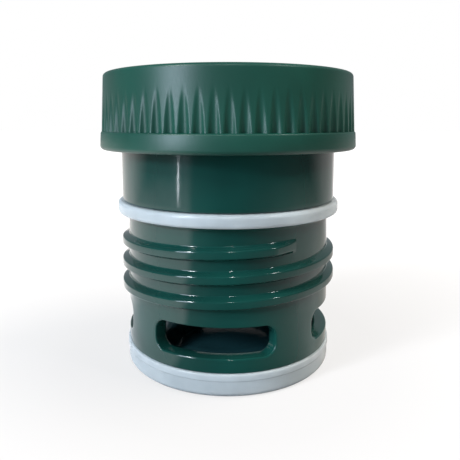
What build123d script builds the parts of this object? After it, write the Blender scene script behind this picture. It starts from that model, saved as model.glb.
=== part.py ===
from build123d import *
import math
import os

# Vacuum-bottle stopper: a fluted knob and insulated core that plug into a threaded sleeve.
# Millimetres. Z is the stopper's axis, Z = 0 is the face it rests on, and the inlet windows
# are centred on +X, +Y, -X and -Y. Ridges between the flutes stand on the same four directions.

# --- Heights along the axis, each measured from the end of the one before ---
BOOT_HEIGHT = 5.2          # lower seal, from the resting face to the end of the sleeve
SILL_HEIGHT = 3.2          # sleeve wall below the windows
WINDOW_HEIGHT = 6.7
WINDOW_HEADER = 1.65       # plain wall between the windows and the thread
THREAD_PITCH = 5.35
THREAD_TURNS = 2.5         # full-depth turns, without the run-outs
THREAD_RELIEF = 3.05       # plain wall between the thread and the seal's lip
LIP_HEIGHT = 0.7
SEAL_HEIGHT = 3.1
NECK_HEIGHT = 12.5         # smooth neck that shows below the knob
SPIGOT_HEIGHT = 6.4        # neck that is hidden inside the knob
KNOB_HEIGHT = 18.5

# --- Radii of the sleeve ---
CAGE_RADIUS = 25.3
CAGE_WALL = 3.5
THREAD_DEPTH = 1.65
LIP_PROUD = 0.8            # lip under the seal, beyond the cage
NECK_INSET = 0.15          # neck inside the thread's crest
NECK_DRAFT = 0.3           # the neck's radius grows by this up to the knob
NECK_WALL = 2.9
BORE_CONE_MARGIN = 2.0     # the bore widens from this far below the lip to this far above the seal
SEAL_PROUD = 1.15          # seal crown beyond the neck
SEAL_SECTION = 3.1         # radial thickness of the seal at its crown

# --- Windows in the cage ---
WINDOW_COUNT = 4
WINDOW_ANGLE = 64.3
WINDOW_CORNER = 2.6

# --- Outlets in the neck, either side of +Y ---
OUTLET_ANGLE = 50.0
OUTLET_OFFSET = 36.0       # centre of each outlet from +Y
OUTLET_MARGIN = 2.3        # neck wall left above the seal and below the collar
OUTLET_CORNER = 2.0

# --- Thread form ---
THREAD_CREST = 1.7         # width of the flat crest
THREAD_BASE = 3.0          # width at the sunk root
THREAD_SINK = 0.4          # root sunk into the sleeve's wall
THREAD_END_ANGLE = -59.5   # where full depth ends, from +X towards +Y
RUN_OUT_ANGLE = 14.0       # the ridge fades to nothing over this
RUN_OUT_DEPTH = 0.15       # height left at the very end

# --- Knob ---
SKIRT_GAP = 2.5            # between the neck and the inside of the skirt
SKIRT_WALL = 2.55
KNOB_DRAFT = 0.5           # the wall's radius shrinks by this up to the top
LEDGE_STEP = 0.3           # fluted wall inside the plain band
KNOB_TOP_WALL = 2.4
KNOB_TOP_ROUND = 0.9
SKIRT_ROUND = 1.0
BAND_HEIGHT = 4.4          # plain band below the flutes
FLUTE_COUNT = 64
FLUTE_HEIGHT = 12.4
FLUTE_DEPTH = 0.8
FLUTE_TOOL_RADIUS = 1.3
DISH_RIM = 8.15            # flat rim round the shallow dish in the knob's top
DISH_DEPTH = 0.8
ARROW_INSET = 6.5          # middle of the arrows inside the dish's edge
ARROW_WIDTH = 2.6
ARROW_ANGLE = 62.0
ARROW_HEAD_WIDTH = 6.8
ARROW_HEAD_LENGTH = 5.0

# --- Knob base, core and insulation ---
PLATE_THICKNESS = 2.0
PLATE_SEAT = 0.6           # step inside the knob that the plate sits against
COLLAR_WALL = 2.8
COLLAR_DROP = 1.3          # collar below the neck's visible top
SPLINE_COUNT = 6
SPLINE_WIDTH = 3.0
SPLINE_DEPTH = 1.0
FLOW_GAP = 4.8             # width of the ring-shaped passage between the core and the cage
CORE_WALL = 1.6
CORE_ABOVE_WINDOWS = 2.0
CORE_ROUND = 3.0
FLANGE_WIDTH = 2.0
FLANGE_THICKNESS = 1.2
O_RING_SECTION = 1.6
O_RING_LAND = 1.4          # collar wall either side of the O-ring

# --- Bottom plug and lower seal ---
PLUG_FLANGE_INSET = 1.3    # flange inside the cage radius
FLOOR_DROP = 2.0           # chamber floor's rim below the window sills
FLOOR_CROWN = 1.4          # rise of the domed floor inside the rim
FLOOR_RIM = 3.0            # flat rim round the dome
BOOT_PROUD = 0.4           # boot beyond the cage
BOOT_SOLE = 1.4            # thickness under the flange
BOOT_BAND = 1.45           # raised band at the top
BOOT_STEP = 0.25
BOOT_ROUND = 1.2
BOOT_SOLE_WIDTH = 10.0     # sole's reach inwards under the flange
BEAD_DEPTH = 0.6
BEAD_HEIGHT = 1.0
BOSS_RECESS = 0.4          # plug boss above the resting face
POCKET_WALL = 2.0          # boss wall round the pocket that cores out the plug
POCKET_DEPTH = 3.2
POCKET_RIBS = 3            # ribs right across the pocket
RIB_THICKNESS = 1.4

# --- Clearances ---
SLIDE_GAP = 0.3            # between the sleeve and what lifts out of it
SEAT_GAP = 0.05            # between pieces that are pressed or welded together
O_RING_GAP = 0.1           # between the O-ring and the bore
CUT_MARGIN = 2.0           # how far a cutter runs past what it cuts

# --- Levels and radii that follow ---
SILL_Z = BOOT_HEIGHT + SILL_HEIGHT
WINDOW_TOP_Z = SILL_Z + WINDOW_HEIGHT
THREAD_START_Z = WINDOW_TOP_Z + WINDOW_HEADER + THREAD_BASE / 2
THREAD_END_Z = THREAD_START_Z + THREAD_PITCH * THREAD_TURNS
LIP_Z = THREAD_END_Z + THREAD_BASE / 2 + THREAD_RELIEF
SEAL_Z = LIP_Z + LIP_HEIGHT
NECK_Z = SEAL_Z + SEAL_HEIGHT
SKIRT_Z = NECK_Z + NECK_HEIGHT
SLEEVE_TOP_Z = SKIRT_Z + SPIGOT_HEIGHT
KNOB_TOP_Z = SKIRT_Z + KNOB_HEIGHT
LEDGE_Z = SKIRT_Z + BAND_HEIGHT
PLATE_Z = SLEEVE_TOP_Z + SLIDE_GAP
PLATE_TOP_Z = PLATE_Z + PLATE_THICKNESS
COLLAR_Z = SKIRT_Z - COLLAR_DROP
O_RING_Z = COLLAR_Z + O_RING_LAND
SPLINE_Z = O_RING_Z + O_RING_SECTION + O_RING_LAND
CORE_Z = WINDOW_TOP_Z + CORE_ABOVE_WINDOWS
BORE_CONE_Z = LIP_Z - BORE_CONE_MARGIN
BORE_CONE_TOP_Z = NECK_Z + BORE_CONE_MARGIN
FLOOR_Z = SILL_Z - FLOOR_DROP

CAGE_BORE = CAGE_RADIUS - CAGE_WALL
CORE_RADIUS = CAGE_BORE - FLOW_GAP
NECK_RADIUS = CAGE_RADIUS + THREAD_DEPTH - NECK_INSET
NECK_TOP_RADIUS = NECK_RADIUS + NECK_DRAFT
NECK_BORE = NECK_RADIUS - NECK_WALL
SEAL_RADIUS = NECK_RADIUS + SEAL_PROUD
SEAL_BORE = SEAL_RADIUS - SEAL_SECTION
SKIRT_BORE = NECK_TOP_RADIUS + SKIRT_GAP
KNOB_RADIUS = SKIRT_BORE + SKIRT_WALL
KNOB_TOP_RADIUS = KNOB_RADIUS - LEDGE_STEP - KNOB_DRAFT
LEDGE_RADIUS = KNOB_RADIUS - KNOB_DRAFT * BAND_HEIGHT / KNOB_HEIGHT
DISH_RADIUS = KNOB_RADIUS - DISH_RIM
ARROW_RADIUS = DISH_RADIUS - ARROW_INSET
COLLAR_RADIUS = NECK_BORE - SLIDE_GAP
COLLAR_BORE = COLLAR_RADIUS - COLLAR_WALL
O_RING_RADIUS = NECK_BORE - O_RING_GAP
O_RING_BORE = O_RING_RADIUS - O_RING_SECTION
PLUG_FLANGE_RADIUS = CAGE_RADIUS - PLUG_FLANGE_INSET
BOOT_RADIUS = CAGE_RADIUS + BOOT_PROUD
BOOT_HOLE_RADIUS = PLUG_FLANGE_RADIUS - BOOT_SOLE_WIDTH


def turned(points):
    """Solid of revolution about Z from an outline of (radius, height) points."""
    outline = Polyline(*[(radius, 0, height) for radius, height in points], close=True)
    return revolve(make_face(outline), Axis.Z)


def tube(inner, outer, low, high):
    """Plain tube, or a disc where the inner radius is zero."""
    return turned([(inner, low), (outer, low), (outer, high), (inner, high)])


def circles_at(solid, radius, height):
    """Circular edges of the solid with that radius at that height."""
    circles = solid.edges().filter_by(GeomType.CIRCLE)
    near = 0.01
    return [
        edge for edge in circles
        if abs(edge.radius - radius) < near and abs(edge.arc_center.Z - height) < near
    ]


def ring_sector(inner, outer, low, high, middle_angle, spread, corner):
    """Sector of a ring about Z with its four radial edges rounded."""
    outline = Polyline((inner, 0, low), (outer, 0, low), (outer, 0, high), (inner, 0, high), close=True)
    sector = revolve(make_face(outline), Axis.Z, revolution_arc=spread)
    level = [edge for edge in sector.edges().filter_by(GeomType.LINE) if abs(edge.tangent_at(0).Z) < 0.5]
    sector = fillet(level, corner)
    return Rot(0, 0, middle_angle - spread / 2) * sector


def thread_section(angle, height, depth):
    """Trapezium across the ridge, in the radial plane at that angle."""
    root = CAGE_RADIUS - THREAD_SINK
    crest = CAGE_RADIUS + depth
    plane = Plane(origin=(0, 0, height), x_dir=(1, 0, 0), z_dir=(0, -1, 0))
    outline = Polyline(
        (root, -THREAD_BASE / 2),
        (crest, -THREAD_CREST / 2),
        (crest, THREAD_CREST / 2),
        (root, THREAD_BASE / 2),
        close=True,
    )
    return Rot(0, 0, angle) * (plane * make_face(outline))


def thread_ridge():
    """Single-start right-hand ridge with a run-out at each end."""
    rise = THREAD_PITCH * THREAD_TURNS
    start_angle = THREAD_END_ANGLE - 360 * THREAD_TURNS
    helix = Helix(THREAD_PITCH, rise, CAGE_RADIUS)
    ridge = sweep(thread_section(0, 0, THREAD_DEPTH), path=helix, is_frenet=True)
    ridge = Pos(0, 0, THREAD_START_Z) * Rot(0, 0, start_angle) * ridge
    fade_rise = THREAD_PITCH * RUN_OUT_ANGLE / 360
    top_fade = loft([
        thread_section(THREAD_END_ANGLE, THREAD_END_Z, THREAD_DEPTH),
        thread_section(THREAD_END_ANGLE + RUN_OUT_ANGLE, THREAD_END_Z + fade_rise, RUN_OUT_DEPTH),
    ])
    bottom_fade = loft([
        thread_section(start_angle, THREAD_START_Z, THREAD_DEPTH),
        thread_section(start_angle - RUN_OUT_ANGLE, THREAD_START_Z - fade_rise, RUN_OUT_DEPTH),
    ])
    return ridge + top_fade + bottom_fade


def threaded_sleeve():
    """Neck, seal groove, thread and windowed cage in one moulding."""
    groove_floor = SEAL_BORE - SEAT_GAP
    body = turned([
        (CAGE_BORE, BOOT_HEIGHT),
        (CAGE_RADIUS, BOOT_HEIGHT),
        (CAGE_RADIUS, LIP_Z),
        (CAGE_RADIUS + LIP_PROUD, LIP_Z),
        (CAGE_RADIUS + LIP_PROUD, SEAL_Z),
        (groove_floor, SEAL_Z),
        (groove_floor, NECK_Z),
        (NECK_RADIUS, NECK_Z),
        (NECK_TOP_RADIUS, SLEEVE_TOP_Z),
        (NECK_BORE, SLEEVE_TOP_Z),
        (NECK_BORE, BORE_CONE_TOP_Z),
        (CAGE_BORE, BORE_CONE_Z),
    ])
    body += thread_ridge()
    reach = CAGE_BORE - CUT_MARGIN
    for index in range(WINDOW_COUNT):
        middle = index * 360 / WINDOW_COUNT
        far = CAGE_RADIUS + CUT_MARGIN
        body -= ring_sector(reach, far, SILL_Z, WINDOW_TOP_Z, middle, WINDOW_ANGLE, WINDOW_CORNER)
    for side in (-1, 1):
        middle = 90 + side * OUTLET_OFFSET
        low = NECK_Z + OUTLET_MARGIN
        high = COLLAR_Z - SLIDE_GAP
        far = NECK_TOP_RADIUS + CUT_MARGIN
        body -= ring_sector(reach, far, low, high, middle, OUTLET_ANGLE, OUTLET_CORNER)
    groove_width = SPLINE_WIDTH + 2 * SLIDE_GAP
    groove_depth = COLLAR_RADIUS + SPLINE_DEPTH + SLIDE_GAP
    groove_low = SPLINE_Z - SLIDE_GAP
    body -= spline_bars(groove_width, groove_depth, groove_low, SLEEVE_TOP_Z + CUT_MARGIN)
    return body


def spline_bars(width, radius, low, high):
    """Radial bars that make the collar's splines, or their grooves in the neck."""
    length = radius - COLLAR_RADIUS + COLLAR_WALL / 2
    middle = radius - length / 2
    bar = Pos(middle, 0, (low + high) / 2) * Box(length, width, high - low)
    bars = [Rot(0, 0, index * 360 / SPLINE_COUNT) * bar for index in range(SPLINE_COUNT)]
    return Part() + bars


def upper_seal_ring():
    """Silicone ring in the neck's groove, with a rounded crown."""
    low = SEAL_Z + SEAT_GAP
    high = NECK_Z - SEAT_GAP
    ring = tube(SEAL_BORE, SEAL_RADIUS, low, high)
    crown = circles_at(ring, SEAL_RADIUS, low) + circles_at(ring, SEAL_RADIUS, high)
    return fillet(crown, SEAL_PROUD)


def bottom_plug():
    """Plug that closes the cage: a spigot in the bore and a flange that holds the lower seal."""
    spigot = CAGE_BORE - SEAT_GAP
    dome = spigot - FLOOR_RIM
    dome_radius = (dome ** 2 + FLOOR_CROWN ** 2) / (2 * FLOOR_CROWN)
    bead_low = BOOT_SOLE + (BOOT_HEIGHT - BOOT_SOLE - BEAD_HEIGHT) / 2
    bead_high = bead_low + BEAD_HEIGHT
    boss = BOOT_HOLE_RADIUS - SEAT_GAP
    flange_top = BOOT_HEIGHT - SEAT_GAP
    plug = turned([
        (0, BOSS_RECESS),
        (boss, BOSS_RECESS),
        (boss, BOOT_SOLE),
        (PLUG_FLANGE_RADIUS, BOOT_SOLE),
        (PLUG_FLANGE_RADIUS, bead_low),
        (PLUG_FLANGE_RADIUS - BEAD_DEPTH, bead_low),
        (PLUG_FLANGE_RADIUS - BEAD_DEPTH, bead_high),
        (PLUG_FLANGE_RADIUS, bead_high),
        (PLUG_FLANGE_RADIUS, flange_top),
        (spigot, flange_top),
        (spigot, FLOOR_Z),
        (0, FLOOR_Z),
    ])
    ball = Pos(0, 0, FLOOR_Z + FLOOR_CROWN - dome_radius) * Sphere(dome_radius)
    plug += ball & tube(0, dome, FLOOR_Z, FLOOR_Z + 2 * FLOOR_CROWN)
    pocket = tube(0, boss - POCKET_WALL, BOSS_RECESS - CUT_MARGIN, BOSS_RECESS + POCKET_DEPTH)
    rib_height = POCKET_DEPTH + CUT_MARGIN
    rib = Pos(0, 0, BOSS_RECESS + rib_height / 2) * Box(2 * boss, RIB_THICKNESS, rib_height)
    ribs = [Rot(0, 0, index * 180 / POCKET_RIBS) * rib for index in range(POCKET_RIBS)]
    return plug - (pocket - ribs)


def lower_seal_boot():
    """Silicone cup stretched over the plug's flange, open under the boss."""
    inner = PLUG_FLANGE_RADIUS + SEAT_GAP
    bead_room = BOOT_HEIGHT - BOOT_SOLE - BEAD_HEIGHT
    bead_low = BOOT_SOLE + bead_room / 2 + SEAT_GAP
    bead_high = bead_low + BEAD_HEIGHT - 2 * SEAT_GAP
    sole_top = BOOT_SOLE - SEAT_GAP
    body = turned([
        (BOOT_HOLE_RADIUS, 0),
        (BOOT_RADIUS - BOOT_STEP, 0),
        (BOOT_RADIUS - BOOT_STEP, BOOT_HEIGHT - BOOT_BAND - BOOT_STEP),
        (BOOT_RADIUS, BOOT_HEIGHT - BOOT_BAND),
        (BOOT_RADIUS, BOOT_HEIGHT),
        (inner, BOOT_HEIGHT),
        (inner, bead_high),
        (inner - BEAD_DEPTH, bead_high),
        (inner - BEAD_DEPTH, bead_low),
        (inner, bead_low),
        (inner, sole_top),
        (BOOT_HOLE_RADIUS, sole_top),
    ])
    return fillet(circles_at(body, BOOT_RADIUS - BOOT_STEP, 0), BOOT_ROUND)


def flute_cutters():
    """Round bars that lean out of the wall as they rise, so each flute fades to a point."""
    lean = math.degrees(math.atan2(FLUTE_DEPTH, FLUTE_HEIGHT))
    axis_radius = LEDGE_RADIUS - LEDGE_STEP + FLUTE_TOOL_RADIUS - FLUTE_DEPTH
    length = FLUTE_HEIGHT + CUT_MARGIN
    bar = Pos(0, 0, length / 2) * Cylinder(FLUTE_TOOL_RADIUS, length)
    bar = Pos(axis_radius, 0, LEDGE_Z) * Rot(0, lean, 0) * bar
    return [Rot(0, 0, (index + 0.5) * 360 / FLUTE_COUNT) * bar for index in range(FLUTE_COUNT)]


def turn_arrow(angle):
    """Raised curved arrow on the floor of the knob's dish."""
    low = KNOB_TOP_Z - DISH_DEPTH
    high = KNOB_TOP_Z - DISH_DEPTH / 2
    inner = ARROW_RADIUS - ARROW_WIDTH / 2
    outer = ARROW_RADIUS + ARROW_WIDTH / 2
    outline = Polyline((inner, 0, low), (outer, 0, low), (outer, 0, high), (inner, 0, high), close=True)
    shaft = revolve(make_face(outline), Axis.Z, revolution_arc=ARROW_ANGLE)
    barb = ARROW_HEAD_WIDTH / 2
    corners = [(ARROW_RADIUS - barb, 0), (ARROW_RADIUS, -ARROW_HEAD_LENGTH), (ARROW_RADIUS + barb, 0)]
    head = Pos(0, 0, low) * extrude(make_face(Polyline(*corners, close=True)), high - low)
    return Rot(0, 0, angle) * (shaft + head)


def knob_shell():
    """Outer cap of the knob: drafted fluted wall, plain band, and a dished top with two arrows."""
    inside_top = KNOB_TOP_Z - KNOB_TOP_WALL
    shell = turned([
        (SKIRT_BORE, SKIRT_Z),
        (KNOB_RADIUS, SKIRT_Z),
        (LEDGE_RADIUS, LEDGE_Z),
        (LEDGE_RADIUS - LEDGE_STEP, LEDGE_Z),
        (KNOB_TOP_RADIUS, KNOB_TOP_Z),
        (DISH_RADIUS, KNOB_TOP_Z),
        (DISH_RADIUS - DISH_DEPTH, KNOB_TOP_Z - DISH_DEPTH),
        (0, KNOB_TOP_Z - DISH_DEPTH),
        (0, inside_top - DISH_DEPTH),
        (SKIRT_BORE - PLATE_SEAT, inside_top - DISH_DEPTH),
        (SKIRT_BORE - PLATE_SEAT, PLATE_TOP_Z),
        (SKIRT_BORE, PLATE_TOP_Z),
    ])
    shell = fillet(circles_at(shell, KNOB_TOP_RADIUS, KNOB_TOP_Z), KNOB_TOP_ROUND)
    shell = fillet(circles_at(shell, KNOB_RADIUS, SKIRT_Z), SKIRT_ROUND)
    shell -= flute_cutters()
    for angle in (0, 180):
        shell += turn_arrow(angle)
    return shell


def knob_base():
    """Plate that closes the knob, with the splined collar that fits the neck."""
    plate = tube(CORE_RADIUS + SEAT_GAP, SKIRT_BORE - SEAT_GAP, PLATE_Z, PLATE_TOP_Z)
    collar = tube(COLLAR_BORE, COLLAR_RADIUS, COLLAR_Z, PLATE_Z)
    groove_floor = O_RING_BORE - SEAT_GAP
    collar -= tube(groove_floor, COLLAR_RADIUS + CUT_MARGIN, O_RING_Z, O_RING_Z + O_RING_SECTION)
    splines = spline_bars(SPLINE_WIDTH, COLLAR_RADIUS + SPLINE_DEPTH, SPLINE_Z, PLATE_Z)
    return plate + collar + splines


def core_o_ring():
    """O-ring in the collar's groove."""
    middle_radius = O_RING_RADIUS - O_RING_SECTION / 2
    middle_height = O_RING_Z + O_RING_SECTION / 2
    return Pos(0, 0, middle_height) * Torus(middle_radius, O_RING_SECTION / 2 - SEAT_GAP)


def core_shell():
    """Cup that hangs down the middle of the sleeve, by a flange on the plate."""
    flange_top = PLATE_TOP_Z + FLANGE_THICKNESS
    cup = turned([
        (0, CORE_Z),
        (CORE_RADIUS, CORE_Z),
        (CORE_RADIUS, PLATE_TOP_Z),
        (CORE_RADIUS + FLANGE_WIDTH, PLATE_TOP_Z),
        (CORE_RADIUS + FLANGE_WIDTH, flange_top),
        (CORE_RADIUS - CORE_WALL, flange_top),
        (CORE_RADIUS - CORE_WALL, CORE_Z + CORE_WALL),
        (0, CORE_Z + CORE_WALL),
    ])
    cup = fillet(circles_at(cup, CORE_RADIUS, CORE_Z), CORE_ROUND)
    return fillet(circles_at(cup, CORE_RADIUS - CORE_WALL, CORE_Z + CORE_WALL), CORE_ROUND - CORE_WALL)


def core_insulation():
    """Foam that fills the cup."""
    radius = CORE_RADIUS - CORE_WALL - SEAT_GAP
    low = CORE_Z + CORE_WALL + SEAT_GAP
    foam = tube(0, radius, low, PLATE_TOP_Z + FLANGE_THICKNESS)
    return fillet(circles_at(foam, radius, low), CORE_ROUND - CORE_WALL)


def knob_insulation():
    """Foam disc between the plate and the knob's top, with room for the cup's flange."""
    outer = SKIRT_BORE - PLATE_SEAT - SEAT_GAP
    recess = CORE_RADIUS + FLANGE_WIDTH + SEAT_GAP
    low = PLATE_TOP_Z + SEAT_GAP
    high = KNOB_TOP_Z - KNOB_TOP_WALL - DISH_DEPTH - SEAT_GAP
    recess_top = PLATE_TOP_Z + FLANGE_THICKNESS + SEAT_GAP
    return turned([
        (recess, low),
        (outer, low),
        (outer, high),
        (0, high),
        (0, recess_top),
        (recess, recess_top),
    ])


SUB_PARTS = {
    "threaded_sleeve": threaded_sleeve,
    "upper_seal_ring": upper_seal_ring,
    "bottom_plug": bottom_plug,
    "lower_seal_boot": lower_seal_boot,
    "knob_shell": knob_shell,
    "knob_base": knob_base,
    "knob_insulation": knob_insulation,
    "core_shell": core_shell,
    "core_insulation": core_insulation,
    "core_o_ring": core_o_ring,
}

os.makedirs("parts", exist_ok=True)
for name, make in SUB_PARTS.items():
    export_step(make(), f"parts/{name}.step")
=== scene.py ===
"""Vacuum-bottle stopper: a fluted green knob above a threaded, windowed sleeve with two silicone seals.

Lengths are in millimetres and angles in degrees until a mesh is made. Angles run from +X towards +Y.
"""

import math

import bmesh
import bpy
import numpy as np
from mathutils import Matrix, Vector


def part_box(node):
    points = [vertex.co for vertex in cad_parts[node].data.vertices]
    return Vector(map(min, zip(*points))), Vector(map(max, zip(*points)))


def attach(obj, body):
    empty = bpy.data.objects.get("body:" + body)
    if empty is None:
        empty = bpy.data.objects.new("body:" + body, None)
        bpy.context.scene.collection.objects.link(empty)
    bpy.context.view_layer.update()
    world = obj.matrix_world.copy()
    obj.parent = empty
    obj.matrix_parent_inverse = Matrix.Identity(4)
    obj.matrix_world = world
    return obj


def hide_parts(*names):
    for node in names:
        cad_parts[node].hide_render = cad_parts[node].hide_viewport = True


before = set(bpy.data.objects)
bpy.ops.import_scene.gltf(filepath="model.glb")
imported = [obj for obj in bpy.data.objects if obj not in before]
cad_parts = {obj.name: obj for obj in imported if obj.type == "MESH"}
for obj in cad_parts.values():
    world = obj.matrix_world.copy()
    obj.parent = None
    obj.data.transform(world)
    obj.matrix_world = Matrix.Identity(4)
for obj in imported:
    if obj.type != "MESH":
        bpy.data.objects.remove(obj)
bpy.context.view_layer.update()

MM = 0.001


# ---------------------------------------------------------------------------
# Sizes
# ---------------------------------------------------------------------------
def reach(node):
    """(lowest height, highest height, largest radius) of a CAD node about the axis."""
    low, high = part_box(node)
    return low.z / MM, high.z / MM, high.x / MM


BOOT_Z, BOOT_TOP_Z, BOOT_RADIUS = reach("lower_seal_boot")
SLEEVE_Z, SLEEVE_TOP_Z, NECK_TOP_RADIUS = reach("threaded_sleeve")
SEAL_Z, SEAL_TOP_Z, SEAL_RADIUS = reach("upper_seal_ring")
SKIRT_Z, KNOB_TOP_Z, _ = reach("knob_shell")
BOSS_Z, FLOOR_CROWN_Z, FLANGE_RADIUS = reach("bottom_plug")
CORE_Z, CORE_TOP_Z, CORE_FLANGE_RADIUS = reach("core_shell")
COLLAR_Z, PLATE_TOP_Z, PLATE_RADIUS = reach("knob_base")
O_RING_Z, O_RING_TOP_Z, O_RING_RADIUS = reach("core_o_ring")
WELD_DISTANCE = 0.002      # points of one piece that are nearer than this become one
SEAT_GAP = 0.05            # between pieces that are pressed together
SLIDE_GAP = 0.3            # between the sleeve and what lifts out of it

KNOB_RADIUS = 32.15
KNOB_DRAFT = 0.5           # the wall's radius shrinks by this up to the top
KNOB_TOP_WALL = 2.4
SKIRT_BORE = 29.6
DISH_RADIUS = 24.0
DISH_DEPTH = 0.8
LEDGE_STEP = 0.3           # fluted wall inside the plain band
LEDGE_Z = SKIRT_Z + 4.4
FLUTE_COUNT = 64
FLUTE_HEIGHT = 12.4
FLUTE_DEPTH = 0.8
FLUTE_TOOL_RADIUS = 1.3
FLUTE_SOFTNESS = 0.12      # reach of the rounding along a flute's edges

PLATE_Z = PLATE_TOP_Z - 2.0
COLLAR_RADIUS = 23.6
COLLAR_BORE = 20.8
O_RING_SECTION = 1.6
SPLINE_COUNT = 6
SPLINE_HALF_WIDTH = 1.5
SPLINE_DEPTH = 1.0
SPLINE_Z = PLATE_Z - 3.6
CORE_RADIUS = 17.0
CORE_WALL = 1.6

CAGE_RADIUS = 25.3
CAGE_BORE = 21.8
NECK_RADIUS = 26.8
NECK_BORE = 23.9
LIP_PROUD = 0.8            # lip under the seal, beyond the cage
LIP_HEIGHT = 0.7
GROOVE_Z = SEAL_Z - SEAT_GAP
NECK_Z = SEAL_TOP_Z + SEAT_GAP
LIP_Z = GROOVE_Z - LIP_HEIGHT
SEAL_SECTION = 3.1         # radial thickness of the seal at its crown
GROOVE_RADIUS = SEAL_RADIUS - SEAL_SECTION - SEAT_GAP
BORE_CONE_Z = LIP_Z - 2.0
BORE_CONE_TOP_Z = NECK_Z + 2.0

WINDOW_Z = 8.4
WINDOW_TOP_Z = 15.1
WINDOW_ANGLE = 64.3
WINDOW_MIDDLES = (0, 90, 180, 270)
WINDOW_CORNER = 2.6
OUTLET_Z = 42.275
OUTLET_TOP_Z = 50.875
OUTLET_ANGLE = 50.0
OUTLET_MIDDLES = (54, 126)
OUTLET_CORNER = 2.0

THREAD_DEPTH = 1.65
THREAD_PITCH = 5.35
THREAD_TURNS = 2.5
THREAD_END_Z = 31.625
THREAD_END_ANGLE = -59.5
RUN_OUT_ANGLE = 14.0       # the ridge fades to nothing over this

FLOOR_RISE = 1.4           # rise of the chamber floor's dome
BOOT_HOLE_RADIUS = 14.0
BOOT_SOLE_Z = 1.4          # underside of the plug's flange
BEAD_Z = 2.8
BEAD_TOP_Z = 3.8
BEAD_DEPTH = 0.6

CAMERA_AZIMUTH = -82.15
# The floor card's painted reflection is brightest on this window side.
WINDOW_SIDE = 126          # the window side faces this far clockwise from the camera


# ---------------------------------------------------------------------------
# Outlines and grids
# ---------------------------------------------------------------------------
def rounded(corners, steps=5):
    """Outline through (radius, height, rounding) corners, each corner turned into a tangent arc.

    The arc is the rational quadratic from one tangent point to the other with the corner as its
    middle control and the sine of the half angle as that control's weight, which is a true circle.
    """
    corners = np.array(corners, float)
    points = corners[:, :2]
    outline = [points[:1]]
    for before, here, after, radius in zip(points, points[1:], points[2:], corners[1:, 2]):
        back = (before - here) / np.linalg.norm(before - here)
        ahead = (after - here) / np.linalg.norm(after - here)
        half = 0.5 * math.acos(np.clip(back @ ahead, -1, 1))
        tangent = radius / math.tan(half)
        t = np.linspace(0, 1, steps + 1)[:, None] if radius else np.zeros((1, 1))
        ends, middle = (1 - t) ** 2, 2 * math.sin(half) * t * (1 - t)
        arc = ends * (here + back * tangent) + middle * here + t ** 2 * (here + ahead * tangent)
        outline.append(arc / (ends + middle + t ** 2))
    outline.append(points[-1:])
    return np.concatenate(outline)


def cylindrical(radius, angle, height):
    """Points (r cos a, r sin a, z) from arrays of radius, angle in degrees and height."""
    radius, angle, height = np.broadcast_arrays(radius, np.radians(angle), height)
    return np.stack([radius * np.cos(angle), radius * np.sin(angle), height], axis=-1)


def grid(points, wrap_rows=False, wrap_columns=False):
    """(points, quads) of a rows by columns array of points, wrapped round where asked."""
    rows, columns = points.shape[:2]
    row, column = np.meshgrid(
        np.arange(rows - (not wrap_rows)), np.arange(columns - (not wrap_columns)), indexing="ij"
    )
    row, column = row.ravel(), column.ravel()
    below, right = (row + 1) % rows, (column + 1) % columns
    corners = [(row, column), (row, right), (below, right), (below, column)]
    quads = np.stack([r * columns + c for r, c in corners], axis=1)
    return points.reshape(-1, 3), quads


def turned(outline, columns=240, wrap=True):
    """Surface of revolution: every outline point (r, z) carried round the axis."""
    angle = np.arange(columns) * 360 / columns
    points = cylindrical(outline[:, 0, None], angle[None], outline[:, 1, None])
    return grid(points, wrap_rows=wrap, wrap_columns=True)


def bar(start, end, half_width, height_low, height_high, rounding, angle):
    """Radial bar: a rounded rectangle carried along the radius from start to end at an angle.

    Each section is the offset (across, up) from the axis line, and the two end sections are
    shrunk onto their own middles, which closes them.
    """
    corner = [
        (0, height_low, 0),
        (half_width, height_low, rounding),
        (half_width, height_high, rounding),
        (-half_width, height_high, rounding),
        (-half_width, height_low, rounding),
        (0, height_low, 0),
    ]
    section = rounded(corner)[:-1]
    middle = np.array([0, (height_low + height_high) / 2])
    along = np.array([start, start, end, end])[:, None]
    scale = np.array([0, 1, 1, 0])[:, None, None]
    across, up = np.moveaxis(middle + scale * (section - middle), -1, 0)
    turn = math.radians(angle)
    x = along * math.cos(turn) - across * math.sin(turn)
    y = along * math.sin(turn) + across * math.cos(turn)
    return grid(np.stack([x, y, up], axis=-1), wrap_columns=True)


def piece(name, parts, body, node, material, sharp=38):
    """One welded, outward-facing, smooth-shaded object that rides on a body and stands for a node."""
    offsets = np.cumsum([0] + [len(points) for points, _ in parts])
    points = np.concatenate([points for points, _ in parts]) * MM
    quads = np.concatenate([quads + offset for (_, quads), offset in zip(parts, offsets)])
    mesh = bpy.data.meshes.new(name)
    mesh.from_pydata(points.tolist(), [], quads.tolist())
    shell = bmesh.new()
    shell.from_mesh(mesh)
    bmesh.ops.remove_doubles(shell, verts=shell.verts, dist=WELD_DISTANCE * MM)
    bmesh.ops.dissolve_degenerate(shell, edges=shell.edges, dist=WELD_DISTANCE / 4 * MM)
    bmesh.ops.recalc_face_normals(shell, faces=shell.faces)
    shell.to_mesh(mesh)
    shell.free()
    mesh.polygons.foreach_set("use_smooth", [True] * len(mesh.polygons))
    mesh.set_sharp_from_angle(angle=math.radians(sharp))
    mesh.materials.append(material)
    made = bpy.data.objects.new(name, mesh)
    bpy.context.scene.collection.objects.link(made)
    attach(made, body)
    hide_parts(node)
    return made


# ---------------------------------------------------------------------------
# Materials
# ---------------------------------------------------------------------------
def linear(hex_colour):
    """Linear RGBA of an sRGB hex colour."""
    channels = np.array([int(hex_colour[i:i + 2], 16) for i in (1, 3, 5)]) / 255
    low, high = channels / 12.92, ((channels + 0.055) / 1.055) ** 2.4
    return (*np.where(channels <= 0.04045, low, high).tolist(), 1.0)


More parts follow.
